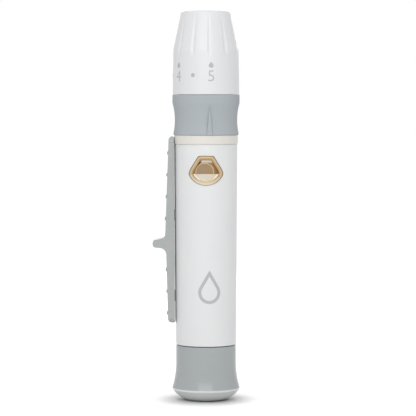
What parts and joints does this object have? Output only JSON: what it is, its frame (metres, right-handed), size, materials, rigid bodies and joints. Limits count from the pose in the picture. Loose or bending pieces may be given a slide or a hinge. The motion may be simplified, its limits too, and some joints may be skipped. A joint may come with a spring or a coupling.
{
  "type": "lancing device",
  "caption": "Pen-shaped lancing device with a turning depth cap, waisted collar, clear trigger button, side ejector slider and a flared pull handle it stands on.",
  "frame": {"origin": "centre of the flat foot under the cocking handle", "axes": "+Z along the pen to the nose, -Y the trigger's side, -X the ejector slider's side"},
  "size_m": [0.0241, 0.0186, 0.1076],
  "materials": {
    "white_body": "satin moulded ABS",
    "white_cap": "satin moulded ABS",
    "cream_ring": "satin moulded acetal",
    "grey_collar": "fine satin moulded ABS",
    "grey_handle": "fine satin moulded ABS",
    "grey_slider": "fine satin moulded ABS",
    "amber_trigger": "clear tinted polycarbonate, polished",
    "natural_acetal": "moulded acetal",
    "spring_steel": "drawn wire",
    "black_rubber": "moulded"
  },
  "bodies": {
    "body": {"barrel": "white_body", "neck_sleeve": "cream_ring", "rear_bush": "natural_acetal", "detent_ring": "black_rubber"},
    "collar": {"collar": "grey_collar"},
    "click_ring": {"click_ring": "natural_acetal"},
    "depth_cap": {"depth_cap": "white_cap"},
    "trigger": {"trigger_button": "amber_trigger", "sear_plate": "natural_acetal", "trigger_spring": "spring_steel"},
    "ejector": {"slider": "grey_slider", "ejector_arm": "natural_acetal", "slider_clip": "spring_steel", "ejector_spring": "spring_steel"},
    "handle": {"handle": "grey_handle", "pull_tube": "natural_acetal", "spring_washer": "spring_steel", "handle_spring": "spring_steel"},
    "carrier": {"lancet_carrier": "natural_acetal", "drive_spring": "spring_steel", "return_spring": "spring_steel"}
  },
  "joints": [
    {"name": "cap_pull", "type": "slide", "parent": "body", "child": "collar", "axis": [0, 0, 1], "range_m": [0, 0.045]},
    {"name": "cap_rise", "type": "slide", "parent": "collar", "child": "click_ring", "axis": [0, 0, 1], "range_m": [0, 0.0016]},
    {"name": "dial_turn", "type": "hinge", "parent": "click_ring", "child": "depth_cap", "pos_m": [0, 0, 0.09], "axis": [0, 0, 1], "range_deg": [0, 256]},
    {"name": "trigger_press", "type": "slide", "parent": "body", "child": "trigger", "axis": [0, 1, 0], "range_m": [0, 0.0012], "stiffness_N_per_m": 1500, "springref_m": -0.001, "deforming": ["trigger_spring"]},
    {"name": "eject_slide", "type": "slide", "parent": "body", "child": "ejector", "axis": [0, 0, 1], "range_m": [0, 0.007], "stiffness_N_per_m": 300, "springref_m": -0.003, "deforming": ["ejector_spring"]},
    {"name": "handle_pull", "type": "slide", "parent": "body", "child": "handle", "axis": [0, 0, -1], "range_m": [0, 0.0075], "stiffness_N_per_m": 600, "springref_m": -0.004, "deforming": ["handle_spring"]},
    {"name": "strike", "type": "slide", "parent": "handle", "child": "carrier", "axis": [0, 0, 1], "range_m": [-0.005, 0.0025], "stiffness_N_per_m": 800, "deforming": ["drive_spring", "return_spring"]}
  ],
  "couplings": [
    {"joint": "cap_rise", "follows": "dial_turn", "m_per_rad": 0.0003581}
  ]
}
